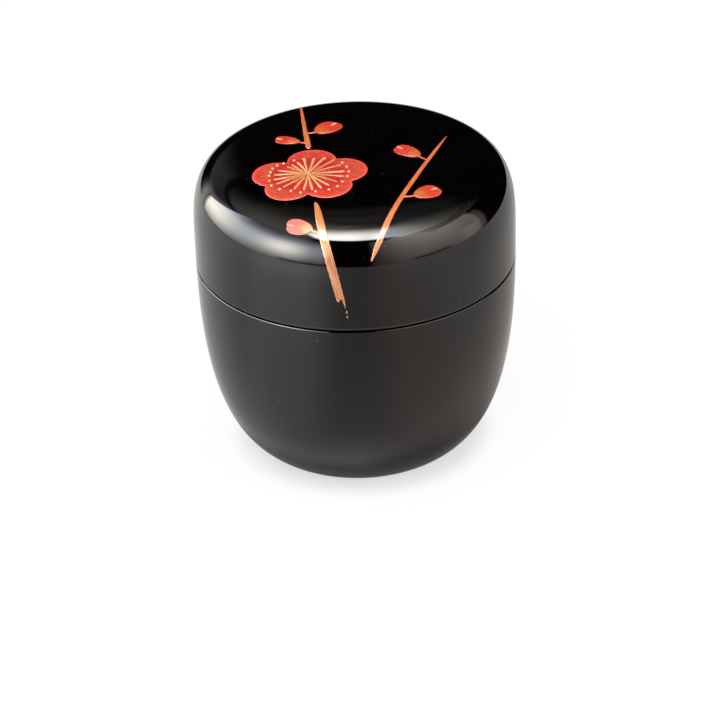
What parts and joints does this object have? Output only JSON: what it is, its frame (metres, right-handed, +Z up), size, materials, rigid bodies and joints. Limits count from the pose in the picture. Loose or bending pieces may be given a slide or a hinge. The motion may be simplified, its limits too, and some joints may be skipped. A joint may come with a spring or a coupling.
{
  "type": "lacquer tea caddy",
  "caption": "Round tea caddy with a domed lid that drops over a standing rim, in black lacquer with a plum spray in raised vermilion and gold.",
  "frame": {"origin": "centre of the plane that the foot ring stands on", "axes": "+Z up along the turning axis; -Y is the side that faces the viewer in the picture, +X is to the viewer's right"},
  "size_m": [0.066, 0.0662, 0.0663],
  "materials": {
    "black_lacquer": "polished",
    "vermilion_lacquer": "gloss",
    "gold_lacquer": "satin"
  },
  "bodies": {
    "vessel": {"body": "black_lacquer"},
    "cover": {"lid": "black_lacquer", "plum_blossom": "vermilion_lacquer", "blossom_stamens": "gold_lacquer", "upper_branch": "gold_lacquer", "right_branch": "gold_lacquer", "lower_branch": "gold_lacquer", "upper_right_bud": "vermilion_lacquer", "upper_left_bud": "vermilion_lacquer", "right_upper_bud": "vermilion_lacquer", "right_lower_bud": "vermilion_lacquer", "lower_bud": "vermilion_lacquer"}
  },
  "joints": [
    {"name": "lid_lift", "type": "slide", "parent": "vessel", "child": "cover", "axis": [0, 0, 1], "range_m": [0, 0.05]}
  ]
}
